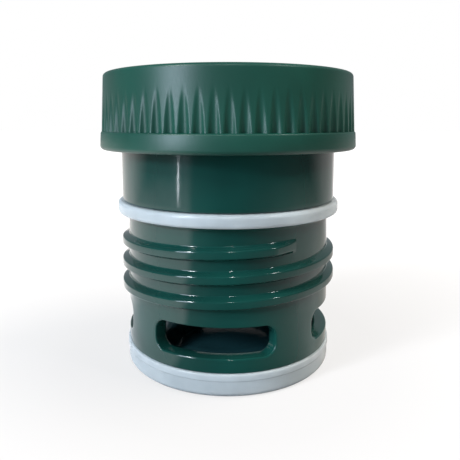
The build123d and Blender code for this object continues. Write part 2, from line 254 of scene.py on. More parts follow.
def add(tree, kind, sockets=None, **settings):
    """Adds a node with its settings. A socket's value is a constant or another node's output."""
    node = tree.nodes.new(kind)
    for name, value in settings.items():
        setattr(node, name, value)
    for name, value in (sockets or {}).items():
        if isinstance(value, bpy.types.NodeSocket):
            tree.links.new(value, node.inputs[name])
        else:
            node.inputs[name].default_value = value
    return node


def new_material(name):
    """(material, node tree, principled shader, object coordinates in millimetres)."""
    material = bpy.data.materials.new(name)
    material.use_nodes = True
    tree = material.node_tree
    shader = next(node for node in tree.nodes if node.type == "BSDF_PRINCIPLED")
    coordinates = add(tree, "ShaderNodeTexCoord").outputs["Object"]
    scaled = add(tree, "ShaderNodeMapping", {"Vector": coordinates, "Scale": (1 / MM,) * 3})
    return material, tree, shader, scaled.outputs["Vector"]


def satin_polypropylene():
    """Injection-moulded polypropylene from a spark-eroded tool: matte, deep green, very fine grain."""
    material, tree, shader, place = new_material("moulded_polypropylene_spark_eroded")
    cloud = add(tree, "ShaderNodeTexNoise", {"Vector": place, "Scale": 1 / 14.0, "Detail": 2.0})
    colour = add(tree, "ShaderNodeValToRGB", {"Fac": cloud.outputs["Fac"]})
    colour.color_ramp.elements[0].position = 0.35
    colour.color_ramp.elements[0].color = linear("#0a342b")
    colour.color_ramp.elements[1].position = 0.65
    colour.color_ramp.elements[1].color = linear("#0d3b31")
    grain = add(tree, "ShaderNodeTexNoise", {"Vector": place, "Scale": 1 / 0.35, "Detail": 3.0})
    gloss = add(tree, "ShaderNodeMapRange", {
        "Value": grain.outputs["Fac"], "To Min": 0.34, "To Max": 0.44,
    })
    bump = add(tree, "ShaderNodeBump", {
        "Height": grain.outputs["Fac"], "Strength": 0.25, "Distance": 0.03 * MM,
    })
    tree.links.new(colour.outputs["Color"], shader.inputs["Base Color"])
    tree.links.new(gloss.outputs["Result"], shader.inputs["Roughness"])
    tree.links.new(bump.outputs["Normal"], shader.inputs["Normal"])
    shader.inputs["IOR"].default_value = 1.49
    return material


def polished_polypropylene(name, shade, tint):
    """Injection-moulded polypropylene from a polished tool: glossy, with faint sink and flow ripple.

    The colour drifts between shade and tint over about 18 mm, as pigment does in a thick moulding.
    """
    material, tree, shader, place = new_material(name)
    cloud = add(tree, "ShaderNodeTexNoise", {"Vector": place, "Scale": 1 / 18.0, "Detail": 2.0})
    colour = add(tree, "ShaderNodeValToRGB", {"Fac": cloud.outputs["Fac"]})
    colour.color_ramp.elements[0].position = 0.35
    colour.color_ramp.elements[0].color = linear(shade)
    colour.color_ramp.elements[1].position = 0.65
    colour.color_ramp.elements[1].color = linear(tint)
    ripple = add(tree, "ShaderNodeTexNoise", {"Vector": place, "Scale": 1 / 5.0, "Detail": 1.0})
    haze = add(tree, "ShaderNodeTexNoise", {"Vector": place, "Scale": 1 / 2.0, "Detail": 4.0})
    gloss = add(tree, "ShaderNodeMapRange", {
        "Value": haze.outputs["Fac"], "To Min": 0.07, "To Max": 0.13,
    })
    bump = add(tree, "ShaderNodeBump", {
        "Height": ripple.outputs["Fac"], "Strength": 0.3, "Distance": 0.12 * MM,
    })
    tree.links.new(colour.outputs["Color"], shader.inputs["Base Color"])
    tree.links.new(gloss.outputs["Result"], shader.inputs["Roughness"])
    tree.links.new(bump.outputs["Normal"], shader.inputs["Normal"])
    shader.inputs["IOR"].default_value = 1.49
    return material


def translucent_silicone():
    """Compression-moulded silicone rubber, unpigmented: milky, lets light in, with a soft waxy shine."""
    material, tree, shader, place = new_material("silicone_rubber_moulded_translucent")
    cloud = add(tree, "ShaderNodeTexNoise", {"Vector": place, "Scale": 1 / 9.0, "Detail": 3.0})
    colour = add(tree, "ShaderNodeValToRGB", {"Fac": cloud.outputs["Fac"]})
    colour.color_ramp.elements[0].position = 0.3
    colour.color_ramp.elements[0].color = linear("#868f92")
    colour.color_ramp.elements[1].position = 0.7
    colour.color_ramp.elements[1].color = linear("#919b9f")
    skin = add(tree, "ShaderNodeTexNoise", {"Vector": place, "Scale": 1 / 0.8, "Detail": 3.0})
    gloss = add(tree, "ShaderNodeMapRange", {
        "Value": skin.outputs["Fac"], "To Min": 0.16, "To Max": 0.26,
    })
    bump = add(tree, "ShaderNodeBump", {
        "Height": skin.outputs["Fac"], "Strength": 0.2, "Distance": 0.05 * MM,
    })
    tree.links.new(colour.outputs["Color"], shader.inputs["Base Color"])
    tree.links.new(gloss.outputs["Result"], shader.inputs["Roughness"])
    tree.links.new(bump.outputs["Normal"], shader.inputs["Normal"])
    shader.inputs["IOR"].default_value = 1.41
    shader.inputs["Subsurface Weight"].default_value = 0.8
    shader.inputs["Subsurface Radius"].default_value = (1.0, 1.0, 1.0)
    shader.inputs["Subsurface Scale"].default_value = 7.0 * MM
    return material


def rigid_foam():
    """Poured polyurethane foam: pale cream, matte, with closed cells about 0.8 mm across."""
    material, tree, shader, place = new_material("polyurethane_foam_poured")
    cells = add(tree, "ShaderNodeTexVoronoi", {"Vector": place, "Scale": 1 / 0.8})
    colour = add(tree, "ShaderNodeValToRGB", {"Fac": cells.outputs["Distance"]})
    colour.color_ramp.elements[0].color = linear("#e9dfb8")
    colour.color_ramp.elements[1].color = linear("#cdbf8e")
    bump = add(tree, "ShaderNodeBump", {
        "Height": cells.outputs["Distance"], "Strength": 0.6, "Distance": 0.2 * MM,
    })
    tree.links.new(colour.outputs["Color"], shader.inputs["Base Color"])
    tree.links.new(bump.outputs["Normal"], shader.inputs["Normal"])
    shader.inputs["Roughness"].default_value = 0.9
    return material


def card_with_painted_light():
    """Matte white card for floor and backdrop: paper tooth, a painted reflection and a painted glow.

    Light Path gives it three levels. In reflections it shows a painted reflection of a room, set by
    where a point lies about the stopper: dark in front, bright on the window side and at the sides,
    and fading with distance but not behind. The front is the azimuth that the camera is set at, and it
    stays there when another view is taken. To bounced light it is even. A viewer sees it nearly even
    too, but most of its white is a painted glow, weaker near the stopper as a painted shade round it,
    so shadows on it are fainter than on a real card.
    """
    material, tree, shader, place = new_material("card_white_with_painted_reflection_and_glow")
    tooth = add(tree, "ShaderNodeTexNoise", {"Vector": place, "Scale": 1 / 1.5, "Detail": 3.0})
    bump = add(tree, "ShaderNodeBump", {
        "Height": tooth.outputs["Fac"], "Strength": 0.1, "Distance": 0.05 * MM,
    })
    tree.links.new(bump.outputs["Normal"], shader.inputs["Normal"])
    distance = add(tree, "ShaderNodeVectorMath", {0: place}, operation="LENGTH")
    direction = add(tree, "ShaderNodeVectorMath", {0: place}, operation="NORMALIZE")

    # How far a direction points to the front and to the window side, from -1 to 1.
    to_front = add(tree, "ShaderNodeMapping", {
        "Vector": direction.outputs["Vector"],
        "Rotation": (0, 0, math.radians(-CAMERA_AZIMUTH)),
    })
    to_window = add(tree, "ShaderNodeMapping", {
        "Vector": direction.outputs["Vector"],
        "Rotation": (0, 0, math.radians(WINDOW_SIDE - CAMERA_AZIMUTH)),
    })
    frontal = add(tree, "ShaderNodeSeparateXYZ", {"Vector": to_front.outputs["Vector"]})
    windowed = add(tree, "ShaderNodeSeparateXYZ", {"Vector": to_window.outputs["Vector"]})

    # Painted reflection of a room: the brighter of two sides times the brighter of near and behind.
    painted_open_side = add(tree, "ShaderNodeMapRange", {
        "Value": frontal.outputs["X"],
        "From Min": 0.3, "From Max": 1.0, "To Min": 0.6, "To Max": 0.02,
    })
    painted_window_pool = add(tree, "ShaderNodeMapRange", {
        "Value": windowed.outputs["X"], "From Min": -0.06, "From Max": 0.08,
    })
    side = add(tree, "ShaderNodeMath", {
        0: painted_open_side.outputs["Result"], 1: painted_window_pool.outputs["Result"],
    }, operation="MAXIMUM")
    near = add(tree, "ShaderNodeMapRange", {
        "Value": distance.outputs["Value"],
        "From Min": 60, "From Max": 380, "To Min": 0.66, "To Max": 0.08,
    })
    behind = add(tree, "ShaderNodeMapRange", {
        "Value": frontal.outputs["X"],
        "From Min": -0.4, "From Max": 0.1, "To Min": 0.5, "To Max": 0.0,
    })
    depth = add(tree, "ShaderNodeMath", {
        0: near.outputs["Result"], 1: behind.outputs["Result"],
    }, operation="MAXIMUM")
    reflected = add(tree, "ShaderNodeMath", {
        0: side.outputs["Value"], 1: depth.outputs["Value"],
    }, operation="MULTIPLY")

    # Level by ray: the painted reflection, then bounced light, then what a viewer sees.
    ray = add(tree, "ShaderNodeLightPath")
    bounced = add(tree, "ShaderNodeMix", {
        "Factor": ray.outputs["Is Glossy Ray"], "A": 0.35, "B": reflected.outputs["Value"],
    })
    level = add(tree, "ShaderNodeMix", {
        "Factor": ray.outputs["Is Camera Ray"], "A": bounced.outputs["Result"], "B": 0.12,
    })
    # Painted glow for a viewer, weaker near the stopper: a painted shade round it.
    glow = add(tree, "ShaderNodeMapRange", {
        "Value": distance.outputs["Value"],
        "From Min": 40, "From Max": 220, "To Min": 0.68, "To Max": 1.0,
    })
    seen_glow = add(tree, "ShaderNodeMath", {
        0: ray.outputs["Is Camera Ray"], 1: glow.outputs["Result"],
    }, operation="MULTIPLY")
    tree.links.new(level.outputs["Result"], shader.inputs["Base Color"])
    tree.links.new(seen_glow.outputs["Value"], shader.inputs["Emission Strength"])
    shader.inputs["Emission Color"].default_value = linear("#ffffff")
    shader.inputs["Roughness"].default_value = 0.9
    shader.inputs["Specular IOR Level"].default_value = 0.0
    return material


KNOB_PLASTIC = satin_polypropylene()
SLEEVE_PLASTIC = polished_polypropylene("moulded_polypropylene_polished", "#0b2b27", "#0c332e")
# A darker copy of the sleeve's polypropylene for the pieces inside: its darkness is painted shade for
# the hollow.
SHADED_INNER_PLASTIC = polished_polypropylene("moulded_polypropylene_inner_painted_shade", "#11282b", "#132e32")
SILICONE = translucent_silicone()
FOAM = rigid_foam()


# ---------------------------------------------------------------------------
# Knob
# ---------------------------------------------------------------------------
def flute_cut(wall_radius, angle, height):
    """Radius left by the flutes: the wall, or the near side of a leaning round bar if that is less.

    At a height t above the ledge the bar's axis is at W + r - d (1 - t/H), where W is the wall's
    radius at the ledge, d the depth there, H the flute's height and r the bar's radius. Its near
    side, at an angle a from the flute's middle, is q cos a - sqrt(r^2 - q^2 sin^2 a) for an axis
    at q. The two are joined by a parabola where they are within the softness of each other, as a
    moulded edge is.
    """
    pitch = 360 / FLUTE_COUNT
    offset = np.radians((angle % pitch) - pitch / 2)
    rise = height - LEDGE_Z
    axis = wall_radius[-1] + FLUTE_TOOL_RADIUS - FLUTE_DEPTH * (1 - rise / FLUTE_HEIGHT)
    inside = np.maximum(FLUTE_TOOL_RADIUS ** 2 - (axis * np.sin(offset)) ** 2, 0)
    near_side = axis * np.cos(offset) - np.sqrt(inside)
    blend = np.clip(0.5 + (wall_radius - near_side) / (2 * FLUTE_SOFTNESS), 0, 1)
    joined = wall_radius + (near_side - wall_radius) * blend
    return joined - FLUTE_SOFTNESS * blend * (1 - blend)


def knob_body():
    """Closed shell: one outline from the top's middle, down the wall, round the rim and up inside.

    The rows between the top's rounding and the ledge take their radius from flute_cut, and the
    ledge's edge is a quarter circle.
    """
    rim_step, plate_step, ledge_edge = 2.2, 0.6, 0.45
    wall_radius = KNOB_RADIUS - LEDGE_STEP
    inside_top = KNOB_TOP_Z - KNOB_TOP_WALL - DISH_DEPTH
    slope = KNOB_DRAFT / (KNOB_TOP_Z - SKIRT_Z)
    flutes_end = LEDGE_Z + FLUTE_HEIGHT
    top = rounded([
        (0, KNOB_TOP_Z - DISH_DEPTH, 0),
        (DISH_RADIUS - DISH_DEPTH, KNOB_TOP_Z - DISH_DEPTH, 0.6),
        (DISH_RADIUS, KNOB_TOP_Z, 0.6),
        (wall_radius - KNOB_DRAFT, KNOB_TOP_Z, 0.9),
        (wall_radius - slope * (flutes_end - SKIRT_Z), flutes_end, 0),
    ], steps=8)
    fluted_z = np.linspace(flutes_end, LEDGE_Z, 28)[1:, None]
    fluted_radius = wall_radius - slope * (fluted_z - SKIRT_Z)
    rim = rounded([
        (KNOB_RADIUS - slope * rim_step, SKIRT_Z + rim_step, 0),
        (KNOB_RADIUS, SKIRT_Z, 1.0),
        (SKIRT_BORE, SKIRT_Z, 0.5),
        (SKIRT_BORE, PLATE_TOP_Z, 0),
        (SKIRT_BORE - plate_step, PLATE_TOP_Z, 0),
        (SKIRT_BORE - plate_step, inside_top, 0.6),
        (0, inside_top, 0),
    ], steps=6)
    columns = FLUTE_COUNT * 14
    angle = np.arange(columns)[None] * 360 / columns
    plain = np.ones_like(angle)
    turn = np.radians([0, 30, 60, 90])[:, None]
    edge_radius = fluted_radius[-1] + LEDGE_STEP - ledge_edge * (1 - np.sin(turn))
    edge_z = LEDGE_Z - ledge_edge * (1 - np.cos(turn))
    radius = np.concatenate([
        top[:, :1] * plain,
        flute_cut(fluted_radius, angle, fluted_z),
        edge_radius * plain,
        rim[:, :1] * plain,
    ])
    height = np.concatenate([top[:, 1:], fluted_z, edge_z, rim[:, 1:]]) * plain
    shell = grid(cylindrical(radius, angle, height), wrap_columns=True)
    piece("knob_body", [shell], "knob", "knob_shell", KNOB_PLASTIC, sharp=50)


def turn_arrows():
    """Raised arrows on the dish, each an arc with a triangular head along the arc's end tangent.

    A section is a raised flat with rounded shoulders: across it the points are at plus and minus
    (half width - inset), and the half width follows the path.
    """
    path_radius, arc_angle = 17.5, 62
    half_shaft, half_head, head_length = 1.3, 3.4, 5.0
    rise, rounding, foot = 0.4, 0.15, -0.2
    arc = np.radians(np.linspace(arc_angle, 0, 32))
    head = np.linspace(0, head_length, 12)
    turn = np.concatenate([arc[:1], arc, np.zeros(len(head) + 1)])
    forward = np.concatenate([np.zeros(len(arc) + 1), head, head[-1:]])
    half_widths = np.concatenate([
        [0], np.full(len(arc), half_shaft), half_head * (1 - head / head_length), [0],
    ])
    shoulder = np.radians(np.linspace(0, 90, 5))
    inset = np.concatenate([[0], rounding * (1 - np.cos(shoulder))])
    lift = np.concatenate([[foot], rise - rounding * (1 - np.sin(shoulder))])
    side = np.maximum(half_widths[:, None] - inset, 0)
    across = np.concatenate([-side, side[:, ::-1]], axis=1)
    lifted = np.concatenate([lift, lift[::-1]]) * np.ones_like(across)
    up = KNOB_TOP_Z - DISH_DEPTH + lifted
    arrows = []
    for around in (0, math.pi):
        turned_by = turn[:, None] + around
        x = (path_radius + across) * np.cos(turned_by) + forward[:, None] * math.sin(around)
        y = (path_radius + across) * np.sin(turned_by) - forward[:, None] * math.cos(around)
        arrows.append(grid(np.stack([x, y, up], axis=-1), wrap_columns=True))
    piece("turn_arrows", arrows, "knob", "knob_shell", KNOB_PLASTIC)


def knob_base():
    """Plate and collar as one turned outline, with a groove for the O-ring and six splines."""
    core_hole = CORE_RADIUS + SEAT_GAP
    groove_radius = O_RING_RADIUS - O_RING_SECTION
    groove_top, groove_low = O_RING_TOP_Z + SEAT_GAP, O_RING_Z - SEAT_GAP
    outline = rounded([
        (core_hole, PLATE_TOP_Z, 0),
        (PLATE_RADIUS, PLATE_TOP_Z, 0.1),
        (PLATE_RADIUS, PLATE_Z, 0.3),
        (COLLAR_RADIUS, PLATE_Z, 0.2),
        (COLLAR_RADIUS, groove_top, 0.1),
        (groove_radius, groove_top, 0),
        (groove_radius, groove_low, 0),
        (COLLAR_RADIUS, groove_low, 0.1),
        (COLLAR_RADIUS, COLLAR_Z, 0.4),
        (COLLAR_BORE, COLLAR_Z, 0.4),
        (COLLAR_BORE, PLATE_Z, 0.4),
        (core_hole, PLATE_Z, 0),
    ])
    root, crest = COLLAR_RADIUS - 0.5, COLLAR_RADIUS + SPLINE_DEPTH
    top, rounding = PLATE_Z + 0.2, 0.25
    splines = [
        bar(root, crest, SPLINE_HALF_WIDTH, SPLINE_Z, top, rounding, index * 360 / SPLINE_COUNT)
        for index in range(SPLINE_COUNT)
    ]
    parts = [turned(outline)] + splines
    piece("collar_plate", parts, "knob", "knob_base", SHADED_INNER_PLASTIC)


def core_cup():
    """Hanging cup as a closed turned outline, from the middle of its foot round its flange and back."""
    foot_round = 3.0
    inner_radius, inner_z = CORE_RADIUS - CORE_WALL, CORE_Z + CORE_WALL
    outline = rounded([
        (0, CORE_Z, 0),
        (CORE_RADIUS, CORE_Z, foot_round),
        (CORE_RADIUS, PLATE_TOP_Z, 0.1),
        (CORE_FLANGE_RADIUS, PLATE_TOP_Z, 0.1),
        (CORE_FLANGE_RADIUS, CORE_TOP_Z, 0.1),
        (inner_radius, CORE_TOP_Z, 0.1),
        (inner_radius, inner_z, foot_round - CORE_WALL),
        (0, inner_z, 0),
    ], steps=8)
    cup = turned(outline, wrap=False)
    piece("core_cup", [cup], "knob", "core_shell", SHADED_INNER_PLASTIC)


def o_ring():
    """Torus: a circle of the section's radius turned about the axis."""
    half = (O_RING_TOP_Z - O_RING_Z) / 2
    around = np.radians(np.arange(24) * 15)
    radius = O_RING_RADIUS - half + half * np.cos(around)
    height = O_RING_Z + half + half * np.sin(around)
    outline = np.stack([radius, height], axis=1)
    piece("core_o_ring_cord", [turned(outline)], "knob", "core_o_ring", SILICONE)


# ---------------------------------------------------------------------------
# Sleeve
# ---------------------------------------------------------------------------
# The wall is drawn in cells, one round each opening, and turned bands join them. Cells and bands
# share their edges, so their columns stand on the same angles.
COLUMN = 1.5               # angle from one column to the next
CELL_ROWS = 20
WINDOW_CELL = (7.0, 16.6)  # lowest and highest height
WINDOW_HALF_CELL = 45
OUTLET_CELL = (41.2, 51.9)
OUTLET_HALF_CELL = 36
OUTLETS_START = OUTLET_MIDDLES[0] - OUTLET_HALF_CELL
OUTLETS_END = OUTLET_MIDDLES[1] + OUTLET_HALF_CELL
OUTER_EDGE = 0.35          # rounding of an opening's edge outside
INNER_EDGE = 0.7
TOP_FACE_HALF = 1.7        # from the bore to where the top face's two sides meet
SPLINE_GROOVE_RADIUS = COLLAR_RADIUS + SPLINE_DEPTH + SLIDE_GAP


def outer_wall(height):
    """Outside radius of the cage, or of the drafted neck above the seal."""
    neck = NECK_RADIUS + (NECK_TOP_RADIUS - NECK_RADIUS) * (height - NECK_Z) / (SLEEVE_TOP_Z - NECK_Z)
    return np.where(height < SEAL_Z, CAGE_RADIUS, neck)


def bore_wall(height):
    """Inside radius: the cage's bore, then a cone, then the neck's bore."""
    return np.interp(height, [BORE_CONE_Z, BORE_CONE_TOP_Z], [CAGE_BORE, NECK_BORE])


def sector(outline, start, end):
    """Part of a turned surface, with a column every COLUMN degrees from start to end."""
    angle = np.linspace(start, end, round((end - start) / COLUMN) + 1)
    return grid(cylindrical(outline[:, 0, None], angle[None], outline[:, 1, None]))


def loop(half_width, low, high, corner, across, up):
    """Closed loop (x, z) round a rectangle with rounded corners, with a fixed count on each side.

    A point is the inner rectangle's edge plus the corner radius along a direction, and the
    direction turns from -45 to 45 degrees about each side's own as the point passes the corners.
    """
    corner_steps = 6 if corner else 0
    inner_width = half_width - corner
    inner_height = (high - low) / 2 - corner
    swing = np.linspace(0, 45, corner_steps + 1)
    sides = []
    for side, count in enumerate((across, up, across, up)):
        straight = count - 2 * corner_steps
        turn = np.concatenate([swing - 45, np.zeros(straight - 1), swing])
        direction = np.radians(turn + 90 * side - 90)
        along = np.concatenate([
            np.full(corner_steps + 1, -1),
            np.linspace(-1, 1, straight + 1)[1:-1],
            np.full(corner_steps + 1, 1),
        ])
        ones = np.ones_like(along)
        x = [along, ones, -along, -ones][side] * inner_width
        z = [-ones, along, ones, -along][side] * inner_height
        offset = np.stack([np.cos(direction), np.sin(direction)], axis=1) * corner
        sides.append((np.stack([x, z], axis=1) + offset)[:-1])
    return np.concatenate(sides) + [0, (low + high) / 2]


def opening(middle, spread, low, high, corner, half_cell, cell):
    """Wall with an opening: rings from the cell's edge to the opening outside, through, and back inside.

    Loops are drawn on the unrolled outside wall. Each side has a few rings at growing shares of the
    way from the cell's edge to the opening's, then a quarter circle for its edge. The opening's ends
    are radial because a loop keeps its angles at every depth.
    """
    unrolled = CAGE_RADIUS if high < SEAL_Z else NECK_RADIUS
    half_width = math.radians(spread / 2) * unrolled
    across, up = round(2 * half_cell / COLUMN), CELL_ROWS
    border = loop(math.radians(half_cell) * unrolled, *cell, 0, across, up)

    def rim(grow):
        return loop(half_width + grow, low - grow, high + grow, corner + grow, across, up)

    def side(rounding):
        share = np.array([0, 0.35, 0.7, 0.9])[:, None, None]
        flat = border + (rim(rounding) - border) * share
        turn = np.radians(np.linspace(0, 90, 6))
        edge = np.stack([rim(rounding * (1 - math.sin(t))) for t in turn])
        sunk = np.concatenate([np.zeros(len(share)), rounding * (1 - np.cos(turn))])[:, None]
        return np.concatenate([flat, edge]), sunk

    outside, outside_sunk = side(OUTER_EDGE)
    inside, inside_sunk = side(INNER_EDGE)
    places = np.concatenate([outside, inside[::-1]])
    radius = np.concatenate([
        outer_wall(outside[..., 1]) - outside_sunk,
        (bore_wall(inside[..., 1]) + inside_sunk)[::-1],
    ])
    angle = middle + np.degrees(places[..., 0] / unrolled)
    return grid(cylindrical(radius, angle, places[..., 1]), wrap_columns=True)


def bore_top():
    """Top of the neck's bore with six spline grooves, from the middle of the top face down the bore.

    The two columns on each side of a groove, the last inside it and the first outside, are drawn
    together, which makes the groove's wall.
    """
    last_inside, wall_spread, edge = 3, 0.01, 0.1
    spacing = 360 / SPLINE_COUNT
    angle = OUTLETS_START + np.arange(round(360 / COLUMN) + 1) * COLUMN
    offset = (angle + spacing / 2) % spacing - spacing / 2
    steps = np.round(np.abs(offset) / COLUMN)
    half_groove = math.degrees((SPLINE_HALF_WIDTH + SLIDE_GAP) / NECK_BORE)
    drawn = np.abs(offset)
    drawn[steps == last_inside] = half_groove - wall_spread
    drawn[steps == last_inside + 1] = half_groove
    drawn_angle = angle - offset + np.sign(offset) * drawn
    grooved = np.where(steps <= last_inside, SPLINE_GROOVE_RADIUS, NECK_BORE)
    plain = np.full_like(angle, NECK_BORE)
    floor = SPLINE_Z - SLIDE_GAP
    rows = [
        (plain + TOP_FACE_HALF, angle, SLEEVE_TOP_Z),
        (grooved + edge, drawn_angle, SLEEVE_TOP_Z),
        (grooved, drawn_angle, SLEEVE_TOP_Z - edge),
        (grooved, drawn_angle, floor),
        (plain, drawn_angle, floor),
        (plain, angle, floor - 0.4),
        (plain, angle, OUTLET_CELL[1]),
    ]
    return grid(np.stack([cylindrical(*row) for row in rows]))


def sleeve_body():
    """Closed moulding: turned bands, four window cells and two outlet cells, welded at their edges."""
    lip_radius = CAGE_RADIUS + LIP_PROUD
    foot = rounded([
        (CAGE_RADIUS, WINDOW_CELL[0], 0),
        (CAGE_RADIUS, SLEEVE_Z, 0.25),
        (CAGE_BORE, SLEEVE_Z, 0.1),
        (CAGE_BORE, WINDOW_CELL[0], 0),
    ])
    shoulder = rounded([
        (CAGE_RADIUS, WINDOW_CELL[1], 0),
        (CAGE_RADIUS, LIP_Z, 0.25),
        (lip_radius, LIP_Z, 0.3),
        (lip_radius, GROOVE_Z, 0.2),
        (GROOVE_RADIUS, GROOVE_Z, 0),
        (GROOVE_RADIUS, NECK_Z, 0),
        (NECK_RADIUS, NECK_Z, 0.4),
        (outer_wall(OUTLET_CELL[0]), OUTLET_CELL[0], 0),
    ])
    bore = rounded([
        (bore_wall(OUTLET_CELL[0]), OUTLET_CELL[0], 0),
        (CAGE_BORE, BORE_CONE_Z, 3.0),
        (CAGE_BORE, WINDOW_CELL[1], 0),
    ])
    top = rounded([
        (outer_wall(OUTLET_CELL[1]), OUTLET_CELL[1], 0),
        (NECK_TOP_RADIUS, SLEEVE_TOP_Z, 0.5),
        (NECK_BORE + TOP_FACE_HALF, SLEEVE_TOP_Z, 0),
    ])
    heights = np.linspace(*OUTLET_CELL, CELL_ROWS + 1)
    outside_back = np.stack([outer_wall(heights), heights], axis=1)
    inside_back = np.stack([bore_wall(heights), heights], axis=1)
    cell_start = WINDOW_MIDDLES[0] - WINDOW_HALF_CELL
    parts = [sector(band, cell_start, cell_start + 360) for band in (foot, shoulder, bore)]
    parts.append(sector(top, OUTLETS_START, OUTLETS_START + 360))
    parts += [sector(back, OUTLETS_END, OUTLETS_START + 360) for back in (outside_back, inside_back)]
    parts.append(bore_top())
    window = (WINDOW_ANGLE, WINDOW_Z, WINDOW_TOP_Z, WINDOW_CORNER, WINDOW_HALF_CELL, WINDOW_CELL)
    outlet = (OUTLET_ANGLE, OUTLET_Z, OUTLET_TOP_Z, OUTLET_CORNER, OUTLET_HALF_CELL, OUTLET_CELL)
    parts += [opening(middle, *window) for middle in WINDOW_MIDDLES]
    parts += [opening(middle, *outlet) for middle in OUTLET_MIDDLES]
    piece("sleeve_body", parts, "sleeve", "threaded_sleeve", SLEEVE_PLASTIC, sharp=45)


def thread_ridge():
    """Rounded trapezium carried along a helix, sunk a little into the wall.

    The section is (height above the wall, offset along the axis). The part above the wall is
    multiplied by a share that climbs in a straight line from nothing to one over each run-out.
    """
    sunk, wall = -0.4, -0.015
    half_foot, half_base, half_crest = 2.1, 1.5, 0.85
    section = rounded([
        (sunk, 0, 0),
        (sunk, -half_foot, 0),
        (wall, -half_foot, 0),
        (wall, -half_base, 0.35),
        (THREAD_DEPTH, -half_crest, 0.42),
        (THREAD_DEPTH, half_crest, 0.42),
        (wall, half_base, 0.35),
        (wall, half_foot, 0),
        (sunk, half_foot, 0),
        (sunk, 0, 0),
    ], steps=6)[:-1]
    start = THREAD_END_ANGLE - 360 * THREAD_TURNS
    low, high = start - RUN_OUT_ANGLE, THREAD_END_ANGLE + RUN_OUT_ANGLE
    angle = np.concatenate([
        np.linspace(low, start, 12)[:-1],
        np.linspace(start, THREAD_END_ANGLE, round(360 * THREAD_TURNS / COLUMN) + 1),
        np.linspace(THREAD_END_ANGLE, high, 12)[1:],
    ])
    share = np.interp(angle, [low, start, THREAD_END_ANGLE, high], [0, 1, 1, 0])
    rise = THREAD_END_Z + (angle - THREAD_END_ANGLE) * THREAD_PITCH / 360
    proud = np.where(section[:, 0] > 0, section[:, 0] * share[:, None], section[:, 0])
    points = cylindrical(CAGE_RADIUS + proud, angle[:, None], rise[:, None] + section[:, 1])
    caps = points.mean(axis=1, keepdims=True) * np.ones((1, points.shape[1], 1))
    points = np.concatenate([caps[:1], points, caps[-1:]])
    ridge = grid(points, wrap_columns=True)
    piece("thread_ridge", [ridge], "sleeve", "threaded_sleeve", SLEEVE_PLASTIC)


def seal_ring():
    """Closed turned outline: a flat back in the groove and a crown of two round shoulders."""
    back, middle = SEAL_RADIUS - SEAL_SECTION, (SEAL_Z + SEAL_TOP_Z) / 2
    outline = rounded([
        (back, middle, 0),
        (back, SEAL_Z, 0.2),
        (SEAL_RADIUS, SEAL_Z, 0.85),
        (SEAL_RADIUS, SEAL_TOP_Z, 0.85),
        (back, SEAL_TOP_Z, 0.2),
        (back, middle, 0),
    ], steps=9)[:-1]
    piece("seal_ring", [turned(outline)], "sleeve", "upper_seal_ring", SILICONE)


def seal_boot():
    """Closed turned outline: rounded sole, band and the bead that grips the plug's flange."""
    step, band = 0.18, 1.45
    side = BOOT_RADIUS - step
    sole_middle, sole_top = BOOT_SOLE_Z / 2, BOOT_SOLE_Z - SEAT_GAP
    inner = FLANGE_RADIUS + SEAT_GAP
    bead = inner - BEAD_DEPTH
    bead_z, bead_top = BEAD_Z + SEAT_GAP, BEAD_TOP_Z - SEAT_GAP
    outline = rounded([
        (BOOT_HOLE_RADIUS, sole_middle, 0),
        (BOOT_HOLE_RADIUS, BOOT_Z, 0.3),
        (side, BOOT_Z, 1.2),
        (side, BOOT_TOP_Z - band - step, 0.3),
        (BOOT_RADIUS, BOOT_TOP_Z - band, 0.15),
        (BOOT_RADIUS, BOOT_TOP_Z, 0.35),
        (inner, BOOT_TOP_Z, 0),
        (inner, bead_top, 0),
        (bead, bead_top, 0.1),
        (bead, bead_z, 0.1),
        (inner, bead_z, 0),
        (inner, sole_top, 0),
        (BOOT_HOLE_RADIUS, sole_top, 0.2),
        (BOOT_HOLE_RADIUS, sole_middle, 0),
    ], steps=7)[:-1]
    piece("seal_boot", [turned(outline)], "sleeve", "lower_seal_boot", SILICONE)


def floor_plug():
    """Turned plug with a domed floor, a flange, and a pocket crossed by three ribs underneath.

    The dome is the arc of a circle through its rim and crown.
    """
    spigot = CAGE_BORE - SEAT_GAP
    boss = BOOT_HOLE_RADIUS - SEAT_GAP
    pocket = boss - 2.0
    rim_z, pocket_z = FLOOR_CROWN_Z - FLOOR_RISE, BOSS_Z + 3.2
    flange_z = BOOT_TOP_Z - SEAT_GAP
    bead_groove = FLANGE_RADIUS - BEAD_DEPTH
    dome, rim_edge = spigot - 3.0, 0.2
    ball = (dome ** 2 + FLOOR_RISE ** 2) / (2 * FLOOR_RISE)
    across = np.linspace(0, dome, 40)
    crown = np.stack([across, FLOOR_CROWN_Z - ball + np.sqrt(ball ** 2 - across ** 2)], axis=1)
    rest = rounded([
        (dome + rim_edge, rim_z, 0),
        (spigot, rim_z, 0.2),
        (spigot, flange_z, 0),
        (FLANGE_RADIUS, flange_z, 0),
        (FLANGE_RADIUS, BEAD_TOP_Z, 0),
        (bead_groove, BEAD_TOP_Z, 0),
        (bead_groove, BEAD_Z, 0),
        (FLANGE_RADIUS, BEAD_Z, 0),
        (FLANGE_RADIUS, BOOT_SOLE_Z, 0.1),
        (boss, BOOT_SOLE_Z, 0),
        (boss, BOSS_Z, 0.3),
        (pocket, BOSS_Z, 0.2),
        (pocket, pocket_z, 0.5),
        (0, pocket_z, 0),
    ])
    outline = np.concatenate([crown, rest])
    count, half_width, rounding = 3, 0.7, 0.15
    end = pocket + 0.5
    rib_z, rib_top = BOSS_Z + 0.1, pocket_z + 0.3
    ribs = [
        bar(-end, end, half_width, rib_z, rib_top, rounding, index * 180 / count)
        for index in range(count)
    ]
    parts = [turned(outline, wrap=False)] + ribs
    piece("floor_plug", parts, "sleeve", "bottom_plug", SHADED_INNER_PLASTIC)


